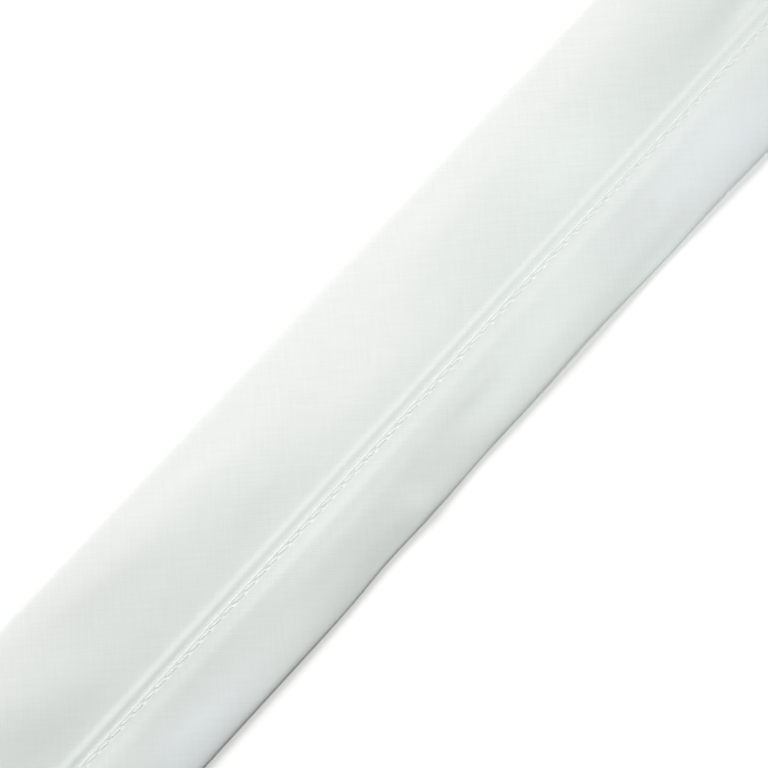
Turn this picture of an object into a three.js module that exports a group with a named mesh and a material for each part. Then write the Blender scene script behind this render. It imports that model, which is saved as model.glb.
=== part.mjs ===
// A 300 mm cut length of waistband tape, lying flat.
//
// Two strips of fine bias-cut cloth make it. The upper panel is folded lengthwise at its outer
// edge, and both of its cut edges run under the lower panel; beside the seam its top layer lifts
// into a slim rib. The lower panel has its inner edge turned under and lapped over the upper one,
// runs across to its own fold and back underneath. Each strip is one closed solid, swept along X
// through sections of lines and arcs, with the soft troughs and mounds that the cloth lies in.
//
// Millimetres. X runs along the tape, Y across it towards the upper panel, and Z is up.
// The origin is on the surface that the tape lies on, under the middle of its outline.

import * as THREE from 'three';

// Driving dimensions
const LENGTH = 300;
const WIDTH = 45; // across both folds, where the tape is widest
const CLOTH = 0.5; // one layer of cloth
const PLY_GAP = 0.2; // between two layers of one strip that are pressed together
const STRIP_GAP = 0.35; // between the two strips
const STATIONS = 37; // sections along the tape

// Lengthwise lines, as places across the tape
const UPPER_EDGE_Y = WIDTH / 2; // the upper panel's fold
const LOWER_EDGE_Y = -WIDTH / 2; // the lower panel's fold, where it isn't drawn in
const RIB_FOOT_Y = -2.5; // where the rib rises from the panel
const RIB_Y = -4.05; // the rib's crest
const LAP_Y = -5.8; // the folded edge of the lower panel, on top of the upper one
const TURNING_Y = -9.2; // where the lower panel's turned-under edge ends
const UPPER_CUT_Y = -13; // where both edges of the upper strip end, under the lap
const LOWER_CUT_Y = UPPER_CUT_Y - 0.4; // where the lower strip ends underneath
const FOLD_ROOM = 1.5; // width of the level strip along each outer fold, which the round joins

// Middle heights of the four layers at the lap, from the bottom up
const BOTTOM_Z = CLOTH / 2;
const TUCKED_Z = BOTTOM_Z + CLOTH + PLY_GAP;
const TURNING_Z = TUCKED_Z + CLOTH + STRIP_GAP;
const LAP_Z = TURNING_Z + CLOTH + PLY_GAP;

// Middle heights of the top layers elsewhere, before the soft forms are added
const UPPER_FOLD_Z = 1.35;
const GROOVE_Z = 1.85; // beside the lap
const RIB_RISE = 0.15;
const LOWER_FOLD_Z = 1.3;
const UPPER_RISE_RUN = 15; // the distance in which the upper panel rises from its fold

// The lower fold along the tape: how far it is drawn in, and how much higher it stands
const LOWER_FOLD_FORMS = [
  { x: -24, reach: 18, inward: 0.35, higher: 0.4 },
  { x: 10, reach: 14, inward: 0.35, higher: 0 },
  { x: 30, reach: 20, inward: 0.55, higher: 0 },
];

// Soft forms of the two panels. Each row is a patch where the cloth tilts: towards +Y it climbs
// by so many degrees. along and across are its reaches, and turn is its long axis from X.
const UPPER_TILTS = [
  { x: 0, y: -1, along: 900, across: 5, turn: 0, tilt: 1.8 },
  { x: -128, y: 8, along: 15, across: 6, turn: 4, tilt: 1.6 },
  { x: -91, y: 4.5, along: 15, across: 6.5, turn: -8, tilt: 4.5 },
  { x: -65, y: 12.5, along: 18, across: 3.5, turn: -10, tilt: 4 },
  { x: -53, y: 3, along: 20, across: 6, turn: 0, tilt: 2.3 },
  { x: -32, y: 2.5, along: 9, across: 2.5, turn: 5, tilt: 2 },
  { x: -36, y: 15.9, along: 14, across: 2, turn: -9, tilt: -2 },
  { x: 0, y: 5, along: 17, across: 4.2, turn: 0, tilt: -2.5 },
  { x: -4, y: 13, along: 28, across: 4, turn: 0, tilt: -0.8 },
  { x: 39, y: 6.5, along: 16, across: 6, turn: 0, tilt: 1.5 },
  { x: 32, y: 16.4, along: 16, across: 2, turn: 0, tilt: -1.6 },
  { x: 58, y: 4.5, along: 10, across: 5.5, turn: 0, tilt: -2.7 },
  { x: 83, y: 17, along: 20, across: 4.5, turn: 0, tilt: -1.9 },
  { x: 87, y: 3, along: 21, across: 8, turn: 0, tilt: 2.7 },
  { x: 100, y: 1.8, along: 9, across: 2, turn: 5, tilt: 3.4 },
  { x: 130, y: 11, along: 15, across: 5, turn: -5, tilt: 1.6 },
];
const LOWER_TILTS = [
  { x: 0, y: -11.8, along: 900, across: 1.5, turn: 0, tilt: -1.5 },
  { x: -120, y: -15.8, along: 14, across: 3, turn: 4, tilt: 1.6 },
  { x: -68, y: -16, along: 11, across: 2.2, turn: -6, tilt: -2.8 },
  { x: -24, y: -15, along: 22, across: 2, turn: 0, tilt: 3.5 },
  { x: -25, y: -18.6, along: 13, across: 2.8, turn: 0, tilt: 4.8 },
  { x: -5, y: -17, along: 9, across: 2.4, turn: 0, tilt: 2.4 },
  { x: 26, y: -15, along: 14, across: 3.4, turn: 6, tilt: -4.2 },
  { x: 55, y: -19, along: 14, across: 2, turn: 0, tilt: 2.8 },
  { x: 52, y: -14.8, along: 9, across: 4, turn: 0, tilt: 1.7 },
  { x: 82, y: -14.8, along: 16, across: 4, turn: -4, tilt: -2.8 },
  { x: 124, y: -15, along: 15, across: 3.5, turn: 4, tilt: -1.6 },
];

// Height that a table of tilts adds at a place, counted from the line y = startY
function tiltsAt(tilts, x, y, startY) {
  let sum = 0;
  for (const { x: midX, y: midY, along, across, turn, tilt } of tilts) {
    const angle = THREE.MathUtils.degToRad(turn);
    const steep = Math.tan(THREE.MathUtils.degToRad(tilt)) * across;
    const heightAt = (place) => {
      const dx = x - midX;
      const dy = place - midY;
      const along1 = (dx * Math.cos(angle) + dy * Math.sin(angle)) / along;
      const across1 = (dy * Math.cos(angle) - dx * Math.sin(angle)) / across;
      return steep * Math.exp(-(along1 ** 2)) * Math.tanh(across1);
    };
    sum += heightAt(y) - heightAt(startY);
  }
  return sum;
}

// Sum of one column of the lower fold's forms at a station
function foldForm(x, column) {
  return LOWER_FOLD_FORMS.reduce(
    (sum, form) => sum + form[column] * Math.exp(-(((x - form.x) / form.reach) ** 2)),
    0,
  );
}

const point = (y, z) => new THREE.Vector2(y, z);

// Points on an arc, angles in degrees from +Y towards +Z
function arc(centre, radius, from, to, steps) {
  const points = [];
  for (let i = 0; i <= steps; i += 1) {
    const angle = THREE.MathUtils.degToRad(from + ((to - from) * i) / steps);
    points.push(point(centre.x + radius * Math.cos(angle), centre.y + radius * Math.sin(angle)));
  }
  return points;
}

// Points over a stretch across the tape, at the heights that a function gives
function stretch(from, to, steps, height) {
  const points = [];
  for (let i = 0; i <= steps; i += 1) {
    const y = from + ((to - from) * i) / steps;
    points.push(point(y, height(y)));
  }
  return points;
}

// How far the upper panel has risen, from 0 at its fold to 1 where the run ends
function risen(distance) {
  const left = 1 - THREE.MathUtils.clamp(distance / UPPER_RISE_RUN, 0, 1);
  return 1 - left * left;
}

// The lap's folded edge: the turned-under layer and the top layer meet in a half round
const LAP_RADIUS = (LAP_Z - TURNING_Z) / 2;
const LAP_CENTRE = point(LAP_Y - LAP_RADIUS - CLOTH / 2, (LAP_Z + TURNING_Z) / 2);

// The upper strip dips around that edge in an arc, which the rib's crest arc joins smoothly
const DIP_RADIUS = LAP_CENTRE.y - TUCKED_Z;
const RIB_TOP_Z = GROOVE_Z + RIB_RISE;
const RIB_AWAY = RIB_Y - LAP_CENTRE.x;
const RIB_ABOVE = RIB_TOP_Z - LAP_CENTRE.y;
const RIB_RADIUS =
  (RIB_AWAY ** 2 + RIB_ABOVE ** 2 - DIP_RADIUS ** 2) / (2 * (DIP_RADIUS + RIB_ABOVE));
const RIB_CENTRE = point(RIB_Y, RIB_TOP_Z - RIB_RADIUS);
const JOIN_ANGLE = THREE.MathUtils.radToDeg(
  Math.atan2(LAP_CENTRE.y - RIB_CENTRE.y, LAP_CENTRE.x - RIB_CENTRE.x),
);

// Middle height of the upper panel's top layer, level in the strip along its fold
function upperHeight(x, y) {
  const place = Math.min(y, UPPER_EDGE_Y - FOLD_ROOM);
  const share = risen(UPPER_EDGE_Y - place);
  const base = THREE.MathUtils.lerp(UPPER_FOLD_Z, GROOVE_Z, share);
  return base + tiltsAt(UPPER_TILTS, x, place, RIB_FOOT_Y);
}

// Middle height of the lower panel's top layer, level over the turned-under edge and at its fold
function lowerHeight(x, y) {
  const levelY = TURNING_Y - CLOTH;
  const foldLineY = LOWER_EDGE_Y + foldForm(x, 'inward') + FOLD_ROOM;
  const place = THREE.MathUtils.clamp(y, foldLineY, levelY);
  const share = (place - foldLineY) / (levelY - foldLineY);
  const base = THREE.MathUtils.lerp(LOWER_FOLD_Z + foldForm(x, 'higher'), LAP_Z, share);
  return base + tiltsAt(LOWER_TILTS, x, place, levelY);
}

// Middle line of the upper strip at a station, from its cut edge underneath to the tucked one
function upperSection(x) {
  const foldRadius = (upperHeight(x, UPPER_EDGE_Y) - BOTTOM_Z) / 2;
  const foldY = UPPER_EDGE_Y - foldRadius - CLOTH / 2;
  const panel = (y) => upperHeight(x, y);
  const flank = (y) =>
    THREE.MathUtils.lerp(RIB_TOP_Z, GROOVE_Z, THREE.MathUtils.smoothstep(y, RIB_Y, RIB_FOOT_Y));
  return [
    point(UPPER_CUT_Y, BOTTOM_Z),
    point(0, BOTTOM_Z),
    ...arc(point(foldY, BOTTOM_Z + foldRadius), foldRadius, -90, 90, 6),
    ...stretch(foldY, RIB_FOOT_Y, 12, panel).slice(1),
    ...stretch(RIB_FOOT_Y, RIB_Y, 3, flank).slice(1),
    ...arc(RIB_CENTRE, RIB_RADIUS, 90, JOIN_ANGLE, 3).slice(1),
    ...arc(LAP_CENTRE, DIP_RADIUS, JOIN_ANGLE - 180, -90, 4).slice(1),
    point(UPPER_CUT_Y, TUCKED_Z),
  ];
}

// Middle line of the lower strip at a station, from its turned-under edge to the one underneath
function lowerSection(x) {
  const edgeY = LOWER_EDGE_Y + foldForm(x, 'inward');
  const foldRadius = (lowerHeight(x, edgeY) - BOTTOM_Z) / 2;
  const foldY = edgeY + foldRadius + CLOTH / 2;
  const panel = (y) => lowerHeight(x, y);
  return [
    point(TURNING_Y, TURNING_Z),
    ...arc(LAP_CENTRE, LAP_RADIUS, -90, 90, 5),
    ...stretch(TURNING_Y, foldY, 14, panel),
    ...arc(point(foldY, BOTTOM_Z + foldRadius), foldRadius, 90, 270, 6).slice(1),
    point(LOWER_CUT_Y, BOTTOM_Z),
  ];
}

// Both faces of a strip, half a layer to each side of its middle line, as one closed ring
function ringAround(line) {
  const left = [];
  const right = [];
  for (let i = 0; i < line.length; i += 1) {
    const before = line[Math.max(i - 1, 0)];
    const after = line[Math.min(i + 1, line.length - 1)];
    const arriving = line[i].clone().sub(before).normalize();
    const leaving = after.clone().sub(line[i]).normalize();
    const heading = arriving.add(leaving).normalize();
    const side = point(-heading.y, heading.x).multiplyScalar(CLOTH / 2);
    left.push(line[i].clone().add(side));
    right.push(line[i].clone().sub(side));
  }
  return [...left, ...right.reverse()];
}

// The closed solid of a strip, swept through its sections
function strip(name, section, material) {
  const positions = [];
  const indices = [];
  let ringSize = 0;
  for (let s = 0; s < STATIONS; s += 1) {
    const x = -LENGTH / 2 + (LENGTH * s) / (STATIONS - 1);
    const ring = ringAround(section(x));
    ringSize = ring.length;
    ring.forEach((corner) => positions.push(x, corner.x, corner.y));
  }
  for (let s = 0; s < STATIONS - 1; s += 1) {
    for (let i = 0; i < ringSize; i += 1) {
      const a = s * ringSize + i;
      const b = s * ringSize + ((i + 1) % ringSize);
      indices.push(a, a + ringSize, b);
      indices.push(b, a + ringSize, b + ringSize);
    }
  }
  // Each cut end is a row of quads between the two faces
  const last = (STATIONS - 1) * ringSize;
  for (let i = 0; i < ringSize / 2 - 1; i += 1) {
    const [a, b, c, d] = [i, i + 1, ringSize - 2 - i, ringSize - 1 - i];
    indices.push(a, b, c, a, c, d);
    indices.push(last + a, last + c, last + b, last + a, last + d, last + c);
  }
  const geometry = new THREE.BufferGeometry();
  geometry.setAttribute('position', new THREE.Float32BufferAttribute(positions, 3));
  geometry.setIndex(indices);
  geometry.computeVertexNormals();
  const mesh = new THREE.Mesh(geometry, material);
  mesh.name = name;
  return mesh;
}

const whiteCloth = (name, color) =>
  new THREE.MeshStandardMaterial({ name, color, roughness: 0.85, metalness: 0 });

const tape = new THREE.Group();
tape.add(strip('upper_panel', upperSection, whiteCloth('upper cloth', 0xe6ebe7)));
tape.add(strip('lower_panel', lowerSection, whiteCloth('lower cloth', 0xe4eaea)));

export default tape;
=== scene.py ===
"""A flat cut length of white waistband tape: two folded strips of bias-cut cloth, lapped and
edge-stitched beside a slim rib. Lengths are in millimetres until a mesh is made."""

import math

import bpy
import numpy as np
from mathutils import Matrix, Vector


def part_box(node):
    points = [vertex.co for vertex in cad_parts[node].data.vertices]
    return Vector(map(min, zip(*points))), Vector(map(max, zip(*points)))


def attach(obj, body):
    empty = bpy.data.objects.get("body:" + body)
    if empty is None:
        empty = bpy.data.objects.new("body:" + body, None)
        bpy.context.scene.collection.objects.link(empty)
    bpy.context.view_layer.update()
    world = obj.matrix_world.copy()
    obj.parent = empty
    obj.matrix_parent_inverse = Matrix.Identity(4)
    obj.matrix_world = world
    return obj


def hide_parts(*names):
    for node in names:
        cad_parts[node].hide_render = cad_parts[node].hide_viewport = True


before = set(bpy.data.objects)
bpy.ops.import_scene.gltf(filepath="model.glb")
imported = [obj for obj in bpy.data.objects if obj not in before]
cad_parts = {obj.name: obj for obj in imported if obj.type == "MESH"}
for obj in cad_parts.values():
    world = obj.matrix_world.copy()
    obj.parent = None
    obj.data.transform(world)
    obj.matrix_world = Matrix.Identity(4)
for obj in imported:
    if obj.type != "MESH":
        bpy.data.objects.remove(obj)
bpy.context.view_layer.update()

MM = 0.001  # Blender works in metres

# ---------------------------------------------------------------- sizes
UPPER_LOW, UPPER_HIGH = (np.array(corner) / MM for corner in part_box("upper_panel"))
LOWER_LOW = np.array(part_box("lower_panel")[0]) / MM
LENGTH = UPPER_HIGH[0] - UPPER_LOW[0]
UPPER_EDGE_Y = UPPER_HIGH[1]  # the upper panel's fold
LOWER_EDGE_Y = LOWER_LOW[1]  # the lower panel's fold, where it isn't drawn in
LAP_Y = -5.8  # the folded edge of the lower panel, on top of the upper one
CUT_Y = -13.0  # where both edges of the upper strip end, under the lap

CLOTH = 0.13  # thickness of the cloth
NOSE = 0.40  # thickness of the lap's folded edge, two layers
RIB_Y = LAP_Y + 1.63  # crest of the slim rib beside the lap
RIB_FOOT_Y = LAP_Y + 2.8
TURNING_Y = LAP_Y - 3.4  # where the lower strip's turned-under edge ends
LOWER_CUT_Y = CUT_Y - 0.4

# Heights of the tops, before the forms further down are added
LAP_TOP = 1.85
GROOVE_TOP = 1.44  # the upper panel beside the lap
UPPER_FOLD_TOP = 0.94
UPPER_FOLD_INSET = 0.5  # from the upper fold inward to where the panel starts to rise
UPPER_RISE_RUN = 15.0  # from there to where it lies level
EDGE_ROLL = 0.10  # how much the upper panel bends down at that inset
EDGE_ROLL_REACH = 0.8
LOWER_FOLD_INSET = 0.4
LOWER_EDGE_FALL = 0.25  # how much the lower panel bends down before its fold
LOWER_EDGE_RUN = 1.2
LAP_LEVEL_Y = LAP_Y - 1.0  # from here to the lap's edge the lower panel lies level

STITCHES = 101
STITCH = LENGTH / STITCHES  # from one needle hole to the next
STITCH_Y = LAP_Y - 0.86
STITCH_GROOVE = 0.016  # depth of the line that the stitches pull into the cloth
GROOVE_REACH = 0.4
HOLE_DEPTH = 0.10
HOLE_ALONG, HOLE_ACROSS = 0.3, 0.26  # a needle hole's reaches
LAP_ROUNDING = 0.03  # how much lower the lap lies right at its folded edge
ROUNDING_REACH = 0.35

# Sizes that change along the tape: the size at its left end, then each change of it with the two
# places between which it happens
RIB_RISE = (0.04, (0.01, -60, -20))
DIP_DEPTH = (0.11, (-0.08, -70, -20), (-0.055, 0, 60))  # between the rib and the lap
LIP_RISE = (0.03, (-0.012, 0, 60))  # out of the dip, right beside the lap's edge
LAYER_STEP = (0.12, (-0.12, -60, 20))  # the lower panel, where it climbs on the edges under it
LOWER_FOLD_TOP = (0.72, (-0.12, -30, 10))
STITCH_RISE = (0.169, (-0.006, -20, 75))  # a stitch's middle above its ends


def smooth(t, low, high):
    """0 below low, 1 above high, and a smooth rise between them."""
    t = np.clip((t - low) / (high - low), 0, 1)
    return t * t * (3 - 2 * t)


def mix(a, b, share):
    return a + (b - a) * share


def along_tape(size, x):
    """One of the sizes that change along the tape, at each place x."""
    first, *changes = size
    return first + sum(change * smooth(x, begin, end) for change, begin, end in changes)


def hump(distance, reach):
    """1 at distance 0 and smoothly down to 0 on both sides of it."""
    return np.exp(-((distance / reach) ** 2))


# ---------------------------------------------------------------- the soft forms of the cloth
# Each row is a patch where the cloth tilts, with its reaches along and across, and the turn of its
# long axis from X. Where tilt is above 0 the cloth climbs towards +Y. Turn and tilt are in degrees.
TILT_SHARE = 0.8  # how much of its row's tilt a patch has at its middle
TILT_COLUMNS = ("x", "y", "along", "across", "turn", "tilt")
UPPER_TILTS = [
    (0, -1.0, 900, 5.0, 0, 2.2),
    (-128, 8.0, 15, 6.0, 4, 2.0),
    (-89, 3.0, 15, 5.0, -10, 5.7),
    (-64, 13.0, 19, 3.2, -10, 4.6),
    (-53, 3.0, 20, 6.0, 0, 2.9),
    (-32, 2.5, 8, 2.2, 5, 2.6),
    (-36, 15.9, 13, 1.6, -9, -2.6),
    (0, 5.0, 17, 4.2, 0, -3.1),
    (-4, 13.0, 28, 4.0, 0, -1.0),
    (35, 2.0, 12, 3.5, 0, 1.4),
    (32, 16.4, 16, 2.0, 0, -2.0),
    (58, 4.5, 9.5, 5.5, 0, -3.4),
    (83, 17.0, 20, 4.5, 0, -2.4),
    (87, 3.0, 21, 8.0, 0, 3.4),
    (100, 1.8, 9, 1.8, 5, 4.5),
    (104, -1.6, 9, 1.3, 4, -7.0),
    (97, 8.0, 13, 4.0, 0, -1.0),
    (130, 11.0, 15, 5.0, -5, 2.0),
    (42, 9.0, 18, 4.5, 0, 1.8),
    (-93, 9.0, 9, 3.5, 0, 2.5),
    (-67, 9.0, 9, 2.5, 0, 1.5),
    (86, 4.5, 20, 6.0, 0, 1.7),
]
LOWER_TILTS = [
    (0, -8.35, 900, 1.35, 0, -5.2),
    (70, -8.9, 45, 1.2, 0, -1.4),
    (-64, -8.2, 20, 1.4, 0, 2.0),
    (-120, -15.8, 14, 3.0, 4, 2.0),
    (-68, -16.0, 10, 2.0, -6, -3.5),
    (-24, -15.0, 22, 1.9, 0, 4.4),
    (-27, -18.4, 13, 2.8, 0, 5.2),
    (-5, -17.0, 8, 2.4, 0, 3.0),
    (-12.5, -18.2, 2.5, 2.2, 0, -2.5),
    (9, -14.0, 5, 1.3, -14, 2.4),
    (10, -16.6, 7, 2.4, 0, -2.6),
    (26, -15.0, 14, 3.4, 6, -5.2),
    (0, -12.0, 900, 1.0, 0, -2.0),
    (-30, -10.5, 12, 3.0, 0, -1.4),
    (-86, -10.4, 12, 2.4, 0, -3.6),
    (-84, -16.4, 7, 2.0, 0, 1.8),
    (-55, -20.8, 10, 1.0, 0, -3.5),
    (27, -20.8, 12, 1.0, 0, -4.0),
    (62, -20.8, 14, 1.0, 0, -2.5),
    (52, -14.8, 9, 5.0, 0, 2.2),
    (52, -19.6, 14, 1.5, 0, 5.2),
    (0, -12.7, 14, 1.1, 0, 2.6),
    (-20, -19.4, 7, 1.8, 0, 4.0),
    (82, -19.8, 10, 1.5, 0, 2.5),
    (82, -14.8, 16, 4.5, -4, -3.6),
    (124, -15.0, 15, 3.5, 4, -2.0),
    (-20, -10.4, 18, 0.8, 0, 2.0),
    (15, -10.3, 6, 0.8, 0, 1.8),
    (58, -10.4, 12, 0.9, 0, 3.2),
    (-28, -13.4, 26, 0.4, 0, 2.4),
    (9, -13.2, 8, 0.6, 0, 2.8),
    (-10, -13.4, 5, 0.6, 0, 1.6),
    (55, -12.9, 6, 0.8, 0, 1.6),
    (38, -9.8, 9, 2.0, 0, -1.8),
    (-15, -9.15, 45, 0.5, 0, -2.2),
    (-30, -20.2, 14, 1.3, 0, 3.6),
    (56, -20.2, 10, 1.5, 0, 2.0),
    (-50, -15.6, 8, 1.4, 0, -1.5),
    (0, -19.1, 4, 1.0, 0, 2.4),
    (32, -19.1, 15, 1.1, 0, 2.2),
    (65, -15.3, 6, 1.3, 0, -1.8),
    (90, -15.2, 7, 2.2, 0, 1.8),
]


def tilts_at(tilts, x, y, start_y):
    """Height that the tilted patches add at each place, counted from the line y = start_y."""
    total = np.zeros(np.broadcast(x, y).shape)
    for row in tilts:
        patch = dict(zip(TILT_COLUMNS, row))
        c, s = math.cos(math.radians(patch["turn"])), math.sin(math.radians(patch["turn"]))
        steep = TILT_SHARE * math.tan(math.radians(patch["tilt"])) * patch["across"]
        for place, sign in ((y, 1), (start_y + 0 * y, -1)):
            dx, dy = x - patch["x"], place - patch["y"]
            along = (dx * c + dy * s) / patch["along"]
            across = (dy * c - dx * s) / patch["across"]
            total += sign * steep * np.exp(-(along**2)) * np.tanh(across)
    return total


# The lower fold's forms along the tape: how far it is drawn in there, how much higher it stands,
# and how much less the panel falls just before it
FOLD_COLUMNS = ("x", "reach", "inward", "higher", "sharper")
LOWER_FOLD = [
    (-68, 18, 0.10, -0.08, 0.00),
    (-24, 9, 0.48, 0.12, 0.12),
    (-24, 20, 0.00, 0.35, 0.00),
    (1, 14, 0.54, 0.00, 0.00),
    (32, 21, 0.47, -0.06, 0.00),
    (53, 11, -0.08, 0.32, 0.20),
    (88, 16, -0.66, 0.00, 0.00),
]


def fold_form(x, column):
    """Sum of one column of the lower fold's forms at each place along the tape."""
    rows = (dict(zip(FOLD_COLUMNS, row)) for row in LOWER_FOLD)
    return sum(row[column] * hump(x - row["x"], row["reach"]) for row in rows)


# How far the seam wanders aside along the tape: x, reach and distance towards +Y
WANDER = [(-40, 50, 0.07), (27, 18, 0.33), (75, 14, -0.14)]
WANDER_ABOVE, WANDER_BELOW = 2.5, 6.0  # how far across the tape the cloth goes along with it


def wandered(x, y):
    """Places across the tape, once the seam wanders a little from its straight line."""
    aside = sum(far * hump(x - middle, reach) for middle, reach, far in WANDER)
    return y + aside * hump(y - LAP_Y, np.where(y > LAP_Y, WANDER_ABOVE, WANDER_BELOW))


# Where the top of the whole tape lies a little higher or lower: x, reach and height
LIFTED = [(-14, 22, 0.38), (20, 9, -0.16), (51, 12, 0.12)]


def lifted(x):
    """Height that these places add."""
    return sum(height * hump(x - middle, reach) for middle, reach, height in LIFTED)


# The rib's reaches towards +Y and -Y, where the dip ends, and where the lip starts and ends
RIB_OUTWARD, RIB_INWARD = 0.7, 1.0
DIP_END_Y = LAP_Y + 0.1
LIP_START_Y, LIP_END_Y = LAP_Y + 0.5, LAP_Y - 0.1


def rib_and_dip(x, y):
    """The slim rib beside the lap, the dip between the two, and the lip at the lap's edge."""
    reach = np.where(y > RIB_Y, RIB_OUTWARD, RIB_INWARD)
    rib = along_tape(RIB_RISE, x) * hump(y - RIB_Y, reach)
    dip = along_tape(DIP_DEPTH, x) * smooth(-y, -RIB_Y, -DIP_END_Y)
    lip = along_tape(LIP_RISE, x) * smooth(-y, -LIP_START_Y, -LIP_END_Y)
    return rib - dip + lip


def risen(distance, run):
    """How far a panel has risen, from 0 at its fold to 1 where the run ends."""
    left = 1 - np.clip(distance / run, 0, 1)
    return 1 - left * left


def upper_top(x, y):
    """Height of the upper panel's top face."""
    from_fold = UPPER_EDGE_Y - UPPER_FOLD_INSET - y
    z = mix(UPPER_FOLD_TOP, GROOVE_TOP, risen(from_fold, UPPER_RISE_RUN))
    z = z + tilts_at(UPPER_TILTS, x, np.maximum(y, RIB_FOOT_Y), RIB_FOOT_Y)
    z = z - EDGE_ROLL * (1 + np.tanh(-from_fold / EDGE_ROLL_REACH))
    return z + rib_and_dip(x, y) + lifted(x)


# The stretch in which the lower panel climbs on the edges that lie under it
LAYERS_FROM_Y, LAYERS_TO_Y = CUT_Y - 0.6, TURNING_Y + 0.3


def lower_top(x, y):
    """Height of the lower panel's top face."""
    step = along_tape(LAYER_STEP, x)
    edge = LOWER_EDGE_Y + fold_form(x, "inward") + LOWER_FOLD_INSET
    away = np.maximum(y - edge, 0)
    base = along_tape(LOWER_FOLD_TOP, x) + fold_form(x, "higher")
    fall = LOWER_EDGE_FALL - fold_form(x, "sharper")
    z = base + fall * (1 - np.exp(-away / LOWER_EDGE_RUN))
    z = z + (LAP_TOP - step - fall - base) * np.minimum(away / (LAP_LEVEL_Y - edge), 1)
    z = z + step * smooth(y, LAYERS_FROM_Y, LAYERS_TO_Y)
    z = z + tilts_at(LOWER_TILTS, x, np.minimum(y, STITCH_Y), STITCH_Y)
    from_hole = (x / STITCH - np.floor(x / STITCH) - 0.5) * STITCH
    hole = hump(from_hole, HOLE_ALONG) * hump(y - STITCH_Y, HOLE_ACROSS)
    z = z - STITCH_GROOVE * hump(y - STITCH_Y, GROOVE_REACH) - HOLE_DEPTH * hole
    return z - LAP_ROUNDING * hump(y - LAP_Y, ROUNDING_REACH) + lifted(x)


# ---------------------------------------------------------------- the middle lines of the strips
HALF = CLOTH / 2
FOLD_RADIUS = 0.3  # where the search for a fold's radius starts
FOLD_ROUNDS = 8  # of that search
STEEPEST_FOLD = 0.8  # slope of a panel at its fold
PROBE = 0.05  # to both sides, for a slope

# How many points the middle lines have in each of their stretches
UPPER_FOLD_POINTS, UPPER_OUTER_POINTS, UPPER_INNER_POINTS = 12, 40, 27
LOWER_FOLD_POINTS, LOWER_OUTER_POINTS, NOSE_POINTS = 9, 13, 8
OVER_TURNING_POINTS, OVER_LAYERS_POINTS = 7, 8
UPPER_HIDDEN_POINTS, LOWER_HIDDEN_POINTS = 4, 3


def level(z, count, y_from, y_to, x):
    """A level stretch of a strip, as rows of places across the tape for every station."""
    y = np.linspace(y_from, y_to, count)[None, :] + 0 * x[:, None]
    return y, np.zeros_like(y) + z


def outer_fold(x, top, edge_y, side, count):
    """The round outer fold of a panel, from its top to the bottom layer. side is +1 towards +Y.
    Returns where the fold starts on top, and its points."""
    radius = FOLD_RADIUS + 0 * x
    lean = 0 * x
    for _ in range(FOLD_ROUNDS):
        start = edge_y - side * (HALF + radius * (1 - np.sin(lean)))
        height = top(x, start) - HALF
        slope = (top(x, start + PROBE) - top(x, start - PROBE)) / (2 * PROBE)
        lean = np.arctan(np.clip(-side * slope, 0, STEEPEST_FOLD))
        radius = 0.5 * radius + 0.5 * (height - HALF) / (1 + np.cos(lean))
    start = edge_y - side * (HALF + radius * (1 - np.sin(lean)))
    middle_y = edge_y - side * (HALF + radius)
    turn = mix(lean[:, None], np.pi, np.linspace(0, 1, count)[None, :])
    y = middle_y[:, None] + side * radius[:, None] * np.sin(turn)
    z = HALF + radius[:, None] * (1 + np.cos(turn))
    return start, y, z


def joined(parts):
    """The places and heights of several stretches, one after the other."""
    return tuple(np.concatenate([part[i] for part in parts], axis=1) for i in (0, 1))


# The upper strip under the lap: where its top layer ends, where its tucked layer starts, and how
# far below the lap's folded edge that one lies
TOP_END_Y = LAP_Y - 1.0
TUCKED_Y = LAP_Y - 2.5
TUCKED_BELOW = 0.4


def upper_line(x):
    """Middle line of the upper strip, from its cut edge underneath to the tucked one."""
    edge = UPPER_EDGE_Y + 0 * x
    start, fold_y, fold_z = outer_fold(x, upper_top, edge, 1, UPPER_FOLD_POINTS)
    outer = mix(start[:, None], 0, np.linspace(0, 1, UPPER_OUTER_POINTS)[None, 1:])
    inner = np.linspace(0, TOP_END_Y, UPPER_INNER_POINTS)[None, 1:] + 0 * x[:, None]
    y = np.concatenate([outer, inner], axis=1)
    parts = [
        level(HALF, UPPER_HIDDEN_POINTS, CUT_Y, fold_y[:, -1].max(), x),
        (fold_y[:, ::-1], fold_z[:, ::-1]),
        (y, upper_top(x[:, None], y) - HALF),
        level(LAP_TOP - NOSE - TUCKED_BELOW, UPPER_HIDDEN_POINTS, TUCKED_Y, CUT_Y, x),
    ]
    return joined(parts)


# The lower strip: its fine steps near the stitches, its turned-under layer, and its bottom layer
FINE_STEP = 0.13
FINE_END_Y = STITCH_Y - 0.7
BENDS_FROM_Y = CUT_Y - 0.2  # from here outward the steps follow the bends of the lower fold
TURNED_END_Y = STITCH_Y - 0.5
TURNED_BELOW = 0.15
BOTTOM_START_Y = LOWER_EDGE_Y + 3.0


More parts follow.
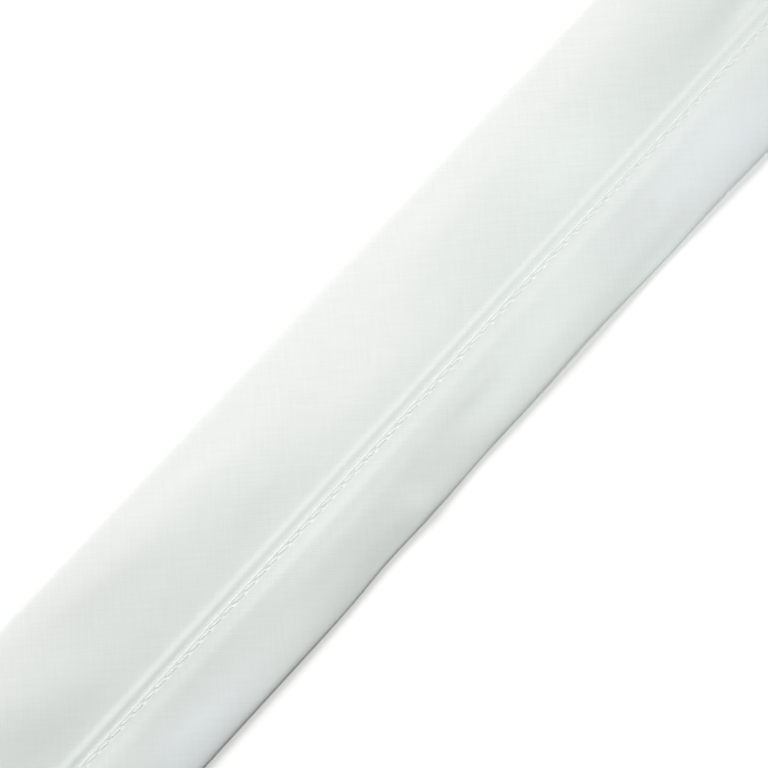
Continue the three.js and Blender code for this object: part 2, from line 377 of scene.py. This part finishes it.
def lower_line(x):
    """Middle line of the lower strip, from its turned-under edge to the one underneath."""
    edge = LOWER_EDGE_Y + fold_form(x, "inward")
    start, fold_y, fold_z = outer_fold(x, lower_top, edge, -1, LOWER_FOLD_POINTS)
    radius = (NOSE - CLOTH) / 2
    nose_y = LAP_Y - HALF - radius
    nose_z = (lower_top(x, nose_y) - HALF - radius)[:, None]
    turn = np.radians(np.linspace(-90, 90, NOSE_POINTS))[None, :] + 0 * x[:, None]
    nose = (nose_y + radius * np.cos(turn), nose_z + radius * np.sin(turn))

    fine = np.arange(nose_y, FINE_END_Y, -FINE_STEP)[1:]
    over_turning = np.linspace(FINE_END_Y, TURNING_Y, OVER_TURNING_POINTS)
    over_layers = np.linspace(TURNING_Y, BENDS_FROM_Y, OVER_LAYERS_POINTS)[1:]
    inner = np.concatenate([fine, over_turning, over_layers])[None, :] + 0 * x[:, None]
    outer = mix(BENDS_FROM_Y, start[:, None], np.linspace(0, 1, LOWER_OUTER_POINTS)[None, 1:-1])
    y = np.concatenate([inner, outer], axis=1)
    turned_z = nose_z - radius - TURNED_BELOW
    parts = [
        level(turned_z, LOWER_HIDDEN_POINTS, TURNING_Y, TURNED_END_Y, x),
        nose,
        (y, lower_top(x[:, None], y) - HALF),
        (fold_y, fold_z),
        level(HALF, LOWER_HIDDEN_POINTS, BOTTOM_START_Y, LOWER_CUT_Y, x),
    ]
    return joined(parts)


# ---------------------------------------------------------------- painted light and shade on the cloth
# Each row is a zone where the cloth's red, green and blue differ, in percent: painted light and
# shade in its colour. The first one is painted shade that dulls the lap's lamp-lit folded edge.
PAINTED_ZONE_COLUMNS = ("x", "y", "along", "across", "turn", "red", "green", "blue")
PAINTED_ZONES = [
    (0, LAP_Y - 0.06, 900, 0.20, 0, -29.0, -29.0, -29.0),
    # Rows 2 to 4 are a painted highlight tint: warmer, more neutral white where the cloth is lit
    # most.
    (0, 18.5, 200, 8.0, 0, 2.4, -1.3, -0.4),
    (-2, 7.0, 24, 8.0, 0, 1.6, -1.1, -0.3),
    (-20, -7.6, 55, 1.6, 0, 1.0, -0.5, 0.0),
    # Rows 5 to 7 are painted cool light, bluish, towards the ends of the strips.
    (80, -16.5, 26, 7.0, -5, 0.0, -0.3, 4.4),
    (-73, -18.0, 20, 5.5, 0, 0.0, -0.3, 4.4),
    (-91, 2.0, 10, 5.0, 0, 0.0, -0.2, 1.0),
]


def painted_light_and_shade_at(x, y):
    """Factors of red, green and blue at each place: the painted light and shade."""
    colour = np.ones(x.shape + (3,))
    for row in PAINTED_ZONES:
        zone = dict(zip(PAINTED_ZONE_COLUMNS, row))
        c, s = math.cos(math.radians(zone["turn"])), math.sin(math.radians(zone["turn"]))
        dx, dy = x - zone["x"], y - zone["y"]
        along, across = (dx * c + dy * s) / zone["along"], (dy * c - dx * s) / zone["across"]
        share = np.exp(-(along**2) - across**2)[..., None]
        colour += share * np.array([zone["red"], zone["green"], zone["blue"]]) / 100
    return colour


# ---------------------------------------------------------------- meshes
UPPER_STATIONS, LOWER_STATIONS = 501, 801  # places along the tape that have points
SHARP_EDGE = math.radians(50)


def add_mesh(name, points, faces, layers=()):
    mesh = bpy.data.meshes.new(name)
    mesh.from_pydata((points * MM).tolist(), [], faces)
    mesh.update()
    mesh.shade_smooth()
    for layer_name, values in layers:
        layer = mesh.attributes.new(layer_name, "FLOAT_VECTOR", "POINT")
        layer.data.foreach_set("vector", values.astype(np.float32).ravel())
    piece = bpy.data.objects.new(name, mesh)
    bpy.context.collection.objects.link(piece)
    return piece


def cloth_strip(name, line, stations):
    """A thin closed shell around the middle line of a strip, and the strip's flat width."""
    x = np.linspace(-LENGTH / 2, LENGTH / 2, stations)
    y, z = line(x)
    # painted light and shade, kept with the points for the cloth's colour
    painted_light_and_shade = painted_light_and_shade_at(x[:, None] + 0 * y, y)
    middle = np.stack([x[:, None] + 0 * y, wandered(x[:, None], y), z], axis=-1)
    run = np.gradient(middle, axis=0)
    turn = np.gradient(middle, axis=1)
    normal = np.cross(run, turn)
    normal /= np.linalg.norm(normal, axis=-1, keepdims=True)
    sides = np.stack([middle + normal * HALF, middle - normal * HALF])
    steps = np.linalg.norm(np.diff(middle[stations // 2], axis=0), axis=-1)
    across = np.concatenate([[0], np.cumsum(steps)])
    flat = np.stack([middle[..., 0], across[None, :] + 0 * y, 0 * y], axis=-1)

    rows, columns = y.shape
    front, back = np.arange(2 * rows * columns).reshape(2, rows, columns)

    def quads(a, b, c, d):
        return np.stack([a, b, c, d], axis=-1).reshape(-1, 4)

    faces = [
        quads(front[:-1, :-1], front[1:, :-1], front[1:, 1:], front[:-1, 1:]),
        quads(back[:-1, :-1], back[:-1, 1:], back[1:, 1:], back[1:, :-1]),
        quads(front[0, :-1], front[0, 1:], back[0, 1:], back[0, :-1]),
        quads(front[-1, :-1], back[-1, :-1], back[-1, 1:], front[-1, 1:]),
        quads(front[:-1, 0], back[:-1, 0], back[1:, 0], front[1:, 0]),
        quads(front[:-1, -1], front[1:, -1], back[1:, -1], back[:-1, -1]),
    ]
    layers = [("flat", np.stack([flat, flat])), ("painted_light_and_shade", np.stack([painted_light_and_shade, painted_light_and_shade]))]
    piece = add_mesh(name, sides.reshape(-1, 3), np.concatenate(faces).tolist(), layers)
    piece.data.set_sharp_from_angle(angle=SHARP_EDGE)
    return piece, float(across[-1])


STITCH_LEAN = 0.20  # across the tape, from a stitch's one end to its other
LEAN_CHANGE = 0.05  # from stitch to stitch
STITCH_STRAY = 0.03
LEAN_RHYTHM, STRAY_RHYTHM = 2.3, 1.7  # radians from one stitch to the next
STITCH_SINK = 0.20  # how far below the cloth's top a stitch starts and ends
STITCH_RISE_RUN = 0.5
PLY = 0.1161  # half a ply's width; a thread is two plies
PLY_ASIDE = 0.9 * PLY  # from the thread's middle to a ply's, as far as it gets
PLY_UP = 0.15 * PLY
PLY_HALF_HEIGHT = 0.52 * PLY  # the thread is pressed flat
TWIST = 1.3  # along the thread, for one turn of the plies
PLY_RINGS, PLY_SIDES = 21, 7


def stitching():
    """The row of lockstitches: two plies of thread wound round each other, over every stitch."""
    count = STITCHES - 2  # the outermost one at each cut end is left out
    first = -STITCH * count / 2
    t = np.linspace(0, 1, PLY_RINGS)
    from_end = np.minimum(t, 1 - t) * STITCH
    ring = np.arange(PLY_SIDES) * 2 * np.pi / PLY_SIDES
    points, faces = [], []
    for k in range(count):
        x = first + (k + t) * STITCH
        lean = STITCH_LEAN + LEAN_CHANGE * math.sin(LEAN_RHYTHM * k)
        y = STITCH_Y - lean * (t - 0.5) + STITCH_STRAY * math.sin(STRAY_RHYTHM * k)
        lift = along_tape(STITCH_RISE, x) * smooth(from_end, 0, STITCH_RISE_RUN) - STITCH_SINK
        z = lower_top(x, STITCH_Y + 0 * x) + HOLE_DEPTH * hump(from_end, HOLE_ALONG) + lift
        for half_turn in (0, np.pi):
            wind = 2 * np.pi * (x / TWIST) + half_turn
            ply_y = wandered(x, y + PLY_ASIDE * np.cos(wind))
            ply_z = z + PLY_UP * np.sin(wind)
            rings = np.stack(
                [
                    x[:, None] + 0 * ring,
                    ply_y[:, None] + PLY * np.cos(ring),
                    ply_z[:, None] + PLY_HALF_HEIGHT * np.sin(ring),
                ],
                axis=-1,
            )
            start = len(points) * PLY_RINGS * PLY_SIDES
            points.append(rings.reshape(-1, 3))
            ids = start + np.arange(PLY_RINGS * PLY_SIDES).reshape(PLY_RINGS, PLY_SIDES)
            after = np.roll(ids, -1, axis=1)
            quads = np.stack([ids[:-1], after[:-1], after[1:], ids[1:]], axis=-1)
            faces += quads.reshape(-1, 4).tolist()
            faces += [ids[0, ::-1].tolist(), ids[-1].tolist()]
    return add_mesh("stitching", np.concatenate(points), faces)


# ---------------------------------------------------------------- materials
class Nodes:
    """Short calls for building a material's nodes."""

    def __init__(self, name):
        self.material = bpy.data.materials.new(name)
        self.material.use_nodes = True
        self.tree = self.material.node_tree
        self.shader = self.tree.nodes["Principled BSDF"]

    def add(self, kind, **settings):
        node = self.tree.nodes.new(kind)
        for key, value in settings.items():
            setattr(node, key, value)
        return node

    def link(self, source, target):
        self.tree.links.new(source, target)

    def math(self, operation, *values):
        node = self.add("ShaderNodeMath", operation=operation)
        for socket, value in zip(node.inputs, values):
            if isinstance(value, (int, float)):
                socket.default_value = value
            else:
                self.link(value, socket)
        return node.outputs[0]

    def relief(self, height, strength, size):
        """Gives the surface a fine relief of this height, size in millimetres."""
        bump = self.add("ShaderNodeBump")
        bump.inputs["Strength"].default_value = strength
        bump.inputs["Distance"].default_value = size * MM
        self.link(height, bump.inputs["Height"])
        self.link(bump.outputs[0], self.shader.inputs["Normal"])


YARN = 0.29  # from one yarn to the next
YARN_ROUNDNESS = 0.4  # the lower, the flatter a yarn's back
SLUB_ALONG, SLUB_ACROSS = 0.012, 0.20  # how fast a yarn's thick and thin places change
CLOTH_RELIEF = 0.03
WEAVE_RELIEF = 0.6  # the weave's share in the relief, where the slubs' share is 1
WEAVE_SHADE, SLUB_SHADE, DEEPEST_SHADE = 0.04, 0.07, 0.975
CLOTH_COLOUR = (0.775, 0.817, 0.786)
THREAD_COLOUR = (0.77, 0.80, 0.78, 1)
THREAD_GRAIN = 9000.0  # per metre
THREAD_RELIEF = 0.02


def cloth_material():
    """Plain weave on the bias: yarns at 45 degrees both ways, over and under each other."""
    n = Nodes("bias cloth")
    shader = n.shader
    shader.inputs["Roughness"].default_value = 0.9
    shader.inputs["Specular IOR Level"].default_value = 0.2

    flat = n.add("ShaderNodeAttribute", attribute_name="flat").outputs["Vector"]
    place = n.add("ShaderNodeSeparateXYZ")
    n.link(flat, place.inputs[0])
    diagonal = math.sqrt(0.5) * math.pi / YARN
    u = n.math("MULTIPLY", n.math("ADD", place.outputs[0], place.outputs[1]), diagonal)
    v = n.math("MULTIPLY", n.math("SUBTRACT", place.outputs[0], place.outputs[1]), diagonal)
    wave_u, wave_v = n.math("SINE", u), n.math("SINE", v)
    over = n.math("GREATER_THAN", n.math("MULTIPLY", wave_u, wave_v), 0.0)
    size_u, size_v = n.math("ABSOLUTE", wave_u), n.math("ABSOLUTE", wave_v)
    flat_u = n.math("POWER", size_u, YARN_ROUNDNESS)
    flat_v = n.math("POWER", size_v, YARN_ROUNDNESS)
    choose = n.add("ShaderNodeMix", data_type="FLOAT")
    n.link(over, choose.inputs["Factor"])
    n.link(n.math("MULTIPLY", size_u, flat_v), choose.inputs["A"])
    n.link(n.math("MULTIPLY", flat_u, size_v), choose.inputs["B"])
    weave = choose.outputs["Result"]

    def streaks(along, across):
        """Thick and thin places along the yarns of one direction."""
        vector = n.add("ShaderNodeCombineXYZ")
        n.link(n.math("MULTIPLY", along, SLUB_ALONG), vector.inputs[0])
        n.link(n.math("MULTIPLY", across, SLUB_ACROSS), vector.inputs[1])
        noise = n.add("ShaderNodeTexNoise")
        noise.inputs["Scale"].default_value = 1.0
        noise.inputs["Detail"].default_value = 2.0
        n.link(vector.outputs[0], noise.inputs["Vector"])
        return n.math("SUBTRACT", noise.outputs[0], 0.5)

    slubs = n.math("ADD", streaks(u, v), streaks(v, u))
    height = n.math("ADD", n.math("MULTIPLY", weave, WEAVE_RELIEF), slubs)
    n.relief(height, 0.5, CLOTH_RELIEF)

    # The cloth's colour, times the painted light and shade kept with the points
    painted_light_and_shade = n.add("ShaderNodeAttribute", attribute_name="painted_light_and_shade").outputs["Vector"]
    shade = n.math("ADD", DEEPEST_SHADE, n.math("MULTIPLY", weave, WEAVE_SHADE))
    shade = n.math("ADD", shade, n.math("MULTIPLY", slubs, SLUB_SHADE))
    colour_with_painted_light_and_shade = n.add("ShaderNodeVectorMath", operation="MULTIPLY")
    n.link(painted_light_and_shade, colour_with_painted_light_and_shade.inputs[0])
    colour_with_painted_light_and_shade.inputs[1].default_value = CLOTH_COLOUR
    shaded = n.add("ShaderNodeVectorMath", operation="SCALE")
    n.link(colour_with_painted_light_and_shade.outputs[0], shaded.inputs[0])
    n.link(shade, shaded.inputs["Scale"])
    n.link(shaded.outputs[0], shader.inputs["Base Color"])
    return n.material


def thread_material():
    """White sewing thread with a light lustre."""
    n = Nodes("sewing thread")
    n.shader.inputs["Base Color"].default_value = THREAD_COLOUR
    n.shader.inputs["Roughness"].default_value = 0.6
    n.shader.inputs["Specular IOR Level"].default_value = 0.35
    noise = n.add("ShaderNodeTexNoise")
    noise.inputs["Scale"].default_value = THREAD_GRAIN
    place = n.add("ShaderNodeTexCoord")
    n.link(place.outputs["Object"], noise.inputs["Vector"])
    n.relief(noise.outputs[0], 0.3, THREAD_RELIEF)
    return n.material


def seen(path, add, link):
    """1 for what the camera sees, straight, mirrored or through a surface, and 0 for light."""
    total = path.outputs["Is Camera Ray"]
    for ray in ("Is Glossy Ray", "Is Transmission Ray"):
        node = add("ShaderNodeMath")
        node.operation = "MAXIMUM"
        link(total, node.inputs[0])
        link(path.outputs[ray], node.inputs[1])
        total = node.outputs[0]
    return total


FLOOR_COLOUR = (0.62, 0.62, 0.63, 1)
FLOOR_GLOW_COLOUR = (0.985, 1, 0.96, 1)
FLOOR_GLOW = 0.50  # seen by the camera only, so that the ground looks white and sheds no light


def floor_material():
    """Plain ground that looks white to the camera and keeps the tape's shadow."""
    n = Nodes("white ground")
    n.shader.inputs["Base Color"].default_value = FLOOR_COLOUR
    n.shader.inputs["Roughness"].default_value = 0.9
    n.shader.inputs["Specular IOR Level"].default_value = 0.0
    n.shader.inputs["Emission Color"].default_value = FLOOR_GLOW_COLOUR
    path = n.add("ShaderNodeLightPath")
    glow = n.math("MULTIPLY", seen(path, n.tree.nodes.new, n.link), FLOOR_GLOW)
    n.link(glow, n.shader.inputs["Emission Strength"])
    return n.material


# ---------------------------------------------------------------- camera, light and ground
CAMERA_AZIMUTH, CAMERA_ELEVATION = -49.0, 70.0
CAMERA_FIELD = 13.1
CAMERA_DISTANCE = 610.6
CAMERA_TARGET = (0.0, 0.51, 2.36)
WORLD_LIGHT = 0.24
GROUND_SIZE = 6000.0


def add_camera():
    """The camera at the photo's angle. At azimuth 0 it stands on the -Y side, and above 0 it has
    gone round from there towards +X."""
    a, e = math.radians(CAMERA_AZIMUTH), math.radians(CAMERA_ELEVATION)
    back = Vector((math.sin(a) * math.cos(e), -math.cos(a) * math.cos(e), math.sin(e)))
    data = bpy.data.cameras.new("camera")
    data.sensor_width = 36
    data.lens = data.sensor_width / 2 / math.tan(math.radians(CAMERA_FIELD) / 2)
    data.clip_start, data.clip_end = 0.01, 20
    camera = bpy.data.objects.new("camera", data)
    camera.location = (Vector(CAMERA_TARGET) + back * CAMERA_DISTANCE) * MM
    camera.rotation_euler = (-back).to_track_quat("-Z", "Y").to_euler()
    bpy.context.collection.objects.link(camera)
    bpy.context.scene.camera = camera


def add_lamp(name, place, target, size, power, colour, spread):
    """A square lamp that the camera doesn't see. Size is in millimetres, power in watts."""
    data = bpy.data.lights.new(name, "AREA")
    data.shape = "SQUARE"
    data.size = size * MM
    data.energy = power
    data.color = colour
    data.spread = math.radians(spread)
    lamp = bpy.data.objects.new(name, data)
    lamp.location = Vector(place) * MM
    lamp.rotation_euler = (Vector(target) - Vector(place)).to_track_quat("-Z", "Y").to_euler()
    lamp.visible_camera = False
    bpy.context.collection.objects.link(lamp)


def add_world(strength):
    """Even light from all round, behind which the camera sees plain white."""
    world = bpy.data.worlds.new("studio")
    world.use_nodes = True
    tree = world.node_tree
    light = tree.nodes["Background"]
    light.inputs["Color"].default_value = (1, 1, 1, 1)
    light.inputs["Strength"].default_value = strength
    white = tree.nodes.new("ShaderNodeBackground")
    white.inputs["Color"].default_value = (1, 1, 1, 1)
    white.inputs["Strength"].default_value = 1.0
    path = tree.nodes.new("ShaderNodeLightPath")
    choose = tree.nodes.new("ShaderNodeMixShader")
    tree.links.new(seen(path, tree.nodes.new, tree.links.new), choose.inputs[0])
    tree.links.new(light.outputs[0], choose.inputs[1])
    tree.links.new(white.outputs[0], choose.inputs[2])
    tree.links.new(choose.outputs[0], tree.nodes["World Output"].inputs["Surface"])
    bpy.context.scene.world = world


add_camera()
add_lamp(
    "key", (18, 474, 273), (0, 0, 0), size=520, power=1.65, colour=(1, 1, 1), spread=80
)
add_lamp(
    "fill", (234, -485, 54), (68, -20, 0), size=125, power=0.027, colour=(0.93, 0.98, 1), spread=19
)
add_world(WORLD_LIGHT)
bpy.context.scene.view_settings.view_transform = "Standard"

bpy.ops.mesh.primitive_plane_add(size=GROUND_SIZE * MM, location=(0, 0, 0))
ground = bpy.context.object
ground.name = "ground"
ground.data.materials.append(floor_material())

cloth = cloth_material()
upper, upper_width = cloth_strip("upper_cloth", upper_line, UPPER_STATIONS)
lower, lower_width = cloth_strip("lower_cloth", lower_line, LOWER_STATIONS)
thread = stitching()
thread.data.materials.append(thread_material())
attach(thread, "root")
strips = ((upper, "upper_panel", upper_width), (lower, "lower_panel", lower_width))
for piece, node, width in strips:
    piece.data.materials.append(cloth)
    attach(piece, "root")
    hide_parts(node)
